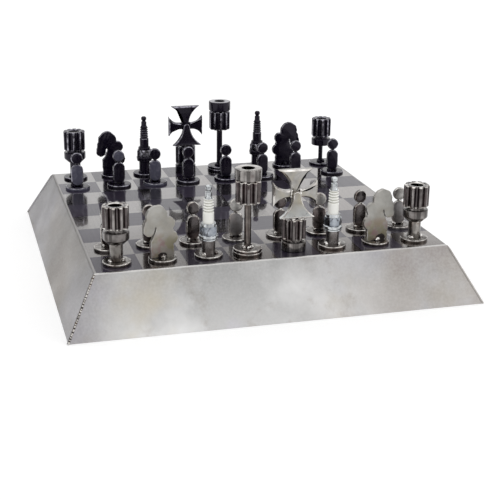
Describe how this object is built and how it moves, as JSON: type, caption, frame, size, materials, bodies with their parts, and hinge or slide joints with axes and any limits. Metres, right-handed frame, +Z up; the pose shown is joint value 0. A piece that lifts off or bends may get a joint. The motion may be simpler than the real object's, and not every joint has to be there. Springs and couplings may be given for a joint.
{
  "type": "chess set with board",
  "caption": "Chess set of welded salvaged machine parts, silver and black men standing on a hollow truncated-pyramid board of sheet steel with inlaid squares.",
  "frame": {"origin": "on the table, under the middle of the board", "axes": "+Z up, +X to the right along the silver men's edge, +Y from the silver men to the black men"},
  "size_m": [0.4192, 0.4192, 0.141],
  "materials": {
    "skirt_steel": "satin sheet steel under clear lacquer",
    "light_square": "glossy clear-coated bare steel",
    "dark_square": "glossy clear-coated blackened steel",
    "weld_steel": "brushed weld bead",
    "silver_steel": "lacquered warm steel",
    "silver_gear": "lacquered gear steel",
    "silver_plate": "lacquered plate with heat tint",
    "plug_metal": "bright zinc plate",
    "plug_ceramic": "glazed ceramic",
    "black_paint": "gloss black paint"
  },
  "bodies": {
    "board": {"deck_plate": "skirt_steel", "light_squares": "light_square", "dark_squares": "dark_square", "front_skirt": "skirt_steel", "rear_skirt": "skirt_steel", "left_skirt": "skirt_steel", "right_skirt": "skirt_steel", "corner_welds": "weld_steel"},
    "silver_rook_a1": {"silver_rook_a1_foot": "silver_steel", "silver_rook_a1_pinion": "silver_gear"},
    "silver_knight_b1": {"silver_knight_b1_foot": "silver_steel", "silver_knight_b1_plate": "silver_plate"},
    "silver_bishop_c1": {"silver_bishop_c1_foot": "silver_steel", "silver_bishop_c1_plug": "plug_metal", "silver_bishop_c1_insulator": "plug_ceramic"},
    "silver_queen_d1": {"silver_queen_d1_stand": "silver_steel", "silver_queen_d1_pinion": "silver_gear"},
    "silver_king_e1": {"silver_king_e1_pinion": "silver_gear", "silver_king_e1_cross": "silver_plate"},
    "silver_bishop_f1": {"silver_bishop_f1_foot": "silver_steel", "silver_bishop_f1_plug": "plug_metal", "silver_bishop_f1_insulator": "plug_ceramic"},
    "silver_knight_g1": {"silver_knight_g1_foot": "silver_steel", "silver_knight_g1_plate": "silver_plate"},
    "silver_rook_h1": {"silver_rook_h1_foot": "silver_steel", "silver_rook_h1_pinion": "silver_gear"},
    "silver_pawn_a2": {"silver_pawn_a2": "silver_steel"},
    "silver_pawn_b2": {"silver_pawn_b2": "silver_steel"},
    "silver_pawn_c2": {"silver_pawn_c2": "silver_steel"},
    "silver_pawn_d2": {"silver_pawn_d2": "silver_steel"},
    "silver_pawn_e2": {"silver_pawn_e2": "silver_steel"},
    "silver_pawn_f2": {"silver_pawn_f2": "silver_steel"},
    "silver_pawn_g2": {"silver_pawn_g2": "silver_steel"},
    "silver_pawn_h2": {"silver_pawn_h2": "silver_steel"},
    "black_pawn_a7": {"black_pawn_a7": "black_paint"},
    "black_pawn_b7": {"black_pawn_b7": "black_paint"},
    "black_pawn_c7": {"black_pawn_c7": "black_paint"},
    "black_pawn_d7": {"black_pawn_d7": "black_paint"},
    "black_pawn_e7": {"black_pawn_e7": "black_paint"},
    "black_pawn_f7": {"black_pawn_f7": "black_paint"},
    "black_pawn_g7": {"black_pawn_g7": "black_paint"},
    "black_pawn_h7": {"black_pawn_h7": "black_paint"},
    "black_rook_a8": {"black_rook_a8_foot": "black_paint", "black_rook_a8_pinion": "black_paint"},
    "black_knight_b8": {"black_knight_b8_foot": "black_paint", "black_knight_b8_plate": "black_paint"},
    "black_bishop_c8": {"black_bishop_c8_foot": "black_paint", "black_bishop_c8_plug": "black_paint", "black_bishop_c8_insulator": "black_paint"},
    "black_king_d8": {"black_king_d8_pinion": "black_paint", "black_king_d8_cross": "black_paint"},
    "black_queen_e8": {"black_queen_e8_stand": "black_paint", "black_queen_e8_pinion": "black_paint"},
    "black_bishop_f8": {"black_bishop_f8_foot": "black_paint", "black_bishop_f8_plug": "black_paint", "black_bishop_f8_insulator": "black_paint"},
    "black_knight_g8": {"black_knight_g8_foot": "black_paint", "black_knight_g8_plate": "black_paint"},
    "black_rook_h8": {"black_rook_h8_foot": "black_paint", "black_rook_h8_pinion": "black_paint"}
  },
  "joints": [
    {"name": "lift_silver_rook_a1", "type": "slide", "parent": "board", "child": "silver_rook_a1", "axis": [0, 0, 1], "range_m": [0, 0.092]},
    {"name": "lift_silver_knight_b1", "type": "slide", "parent": "board", "child": "silver_knight_b1", "axis": [0, 0, 1], "range_m": [0, 0.092]},
    {"name": "lift_silver_bishop_c1", "type": "slide", "parent": "board", "child": "silver_bishop_c1", "axis": [0, 0, 1], "range_m": [0, 0.092]},
    {"name": "lift_silver_queen_d1", "type": "slide", "parent": "board", "child": "silver_queen_d1", "axis": [0, 0, 1], "range_m": [0, 0.092]},
    {"name": "lift_silver_king_e1", "type": "slide", "parent": "board", "child": "silver_king_e1", "axis": [0, 0, 1], "range_m": [0, 0.092]},
    {"name": "lift_silver_bishop_f1", "type": "slide", "parent": "board", "child": "silver_bishop_f1", "axis": [0, 0, 1], "range_m": [0, 0.092]},
    {"name": "lift_silver_knight_g1", "type": "slide", "parent": "board", "child": "silver_knight_g1", "axis": [0, 0, 1], "range_m": [0, 0.092]},
    {"name": "lift_silver_rook_h1", "type": "slide", "parent": "board", "child": "silver_rook_h1", "axis": [0, 0, 1], "range_m": [0, 0.092]},
    {"name": "lift_silver_pawn_a2", "type": "slide", "parent": "board", "child": "silver_pawn_a2", "axis": [0, 0, 1], "range_m": [0, 0.092]},
    {"name": "lift_silver_pawn_b2", "type": "slide", "parent": "board", "child": "silver_pawn_b2", "axis": [0, 0, 1], "range_m": [0, 0.092]},
    {"name": "lift_silver_pawn_c2", "type": "slide", "parent": "board", "child": "silver_pawn_c2", "axis": [0, 0, 1], "range_m": [0, 0.092]},
    {"name": "lift_silver_pawn_d2", "type": "slide", "parent": "board", "child": "silver_pawn_d2", "axis": [0, 0, 1], "range_m": [0, 0.092]},
    {"name": "lift_silver_pawn_e2", "type": "slide", "parent": "board", "child": "silver_pawn_e2", "axis": [0, 0, 1], "range_m": [0, 0.092]},
    {"name": "lift_silver_pawn_f2", "type": "slide", "parent": "board", "child": "silver_pawn_f2", "axis": [0, 0, 1], "range_m": [0, 0.092]},
    {"name": "lift_silver_pawn_g2", "type": "slide", "parent": "board", "child": "silver_pawn_g2", "axis": [0, 0, 1], "range_m": [0, 0.092]},
    {"name": "lift_silver_pawn_h2", "type": "slide", "parent": "board", "child": "silver_pawn_h2", "axis": [0, 0, 1], "range_m": [0, 0.092]},
    {"name": "lift_black_pawn_a7", "type": "slide", "parent": "board", "child": "black_pawn_a7", "axis": [0, 0, 1], "range_m": [0, 0.092]},
    {"name": "lift_black_pawn_b7", "type": "slide", "parent": "board", "child": "black_pawn_b7", "axis": [0, 0, 1], "range_m": [0, 0.092]},
    {"name": "lift_black_pawn_c7", "type": "slide", "parent": "board", "child": "black_pawn_c7", "axis": [0, 0, 1], "range_m": [0, 0.092]},
    {"name": "lift_black_pawn_d7", "type": "slide", "parent": "board", "child": "black_pawn_d7", "axis": [0, 0, 1], "range_m": [0, 0.092]},
    {"name": "lift_black_pawn_e7", "type": "slide", "parent": "board", "child": "black_pawn_e7", "axis": [0, 0, 1], "range_m": [0, 0.092]},
    {"name": "lift_black_pawn_f7", "type": "slide", "parent": "board", "child": "black_pawn_f7", "axis": [0, 0, 1], "range_m": [0, 0.092]},
    {"name": "lift_black_pawn_g7", "type": "slide", "parent": "board", "child": "black_pawn_g7", "axis": [0, 0, 1], "range_m": [0, 0.092]},
    {"name": "lift_black_pawn_h7", "type": "slide", "parent": "board", "child": "black_pawn_h7", "axis": [0, 0, 1], "range_m": [0, 0.092]},
    {"name": "lift_black_rook_a8", "type": "slide", "parent": "board", "child": "black_rook_a8", "axis": [0, 0, 1], "range_m": [0, 0.092]},
    {"name": "lift_black_knight_b8", "type": "slide", "parent": "board", "child": "black_knight_b8", "axis": [0, 0, 1], "range_m": [0, 0.092]},
    {"name": "lift_black_bishop_c8", "type": "slide", "parent": "board", "child": "black_bishop_c8", "axis": [0, 0, 1], "range_m": [0, 0.092]},
    {"name": "lift_black_king_d8", "type": "slide", "parent": "board", "child": "black_king_d8", "axis": [0, 0, 1], "range_m": [0, 0.092]},
    {"name": "lift_black_queen_e8", "type": "slide", "parent": "board", "child": "black_queen_e8", "axis": [0, 0, 1], "range_m": [0, 0.092]},
    {"name": "lift_black_bishop_f8", "type": "slide", "parent": "board", "child": "black_bishop_f8", "axis": [0, 0, 1], "range_m": [0, 0.092]},
    {"name": "lift_black_knight_g8", "type": "slide", "parent": "board", "child": "black_knight_g8", "axis": [0, 0, 1], "range_m": [0, 0.092]},
    {"name": "lift_black_rook_h8", "type": "slide", "parent": "board", "child": "black_rook_h8", "axis": [0, 0, 1], "range_m": [0, 0.092]}
  ]
}
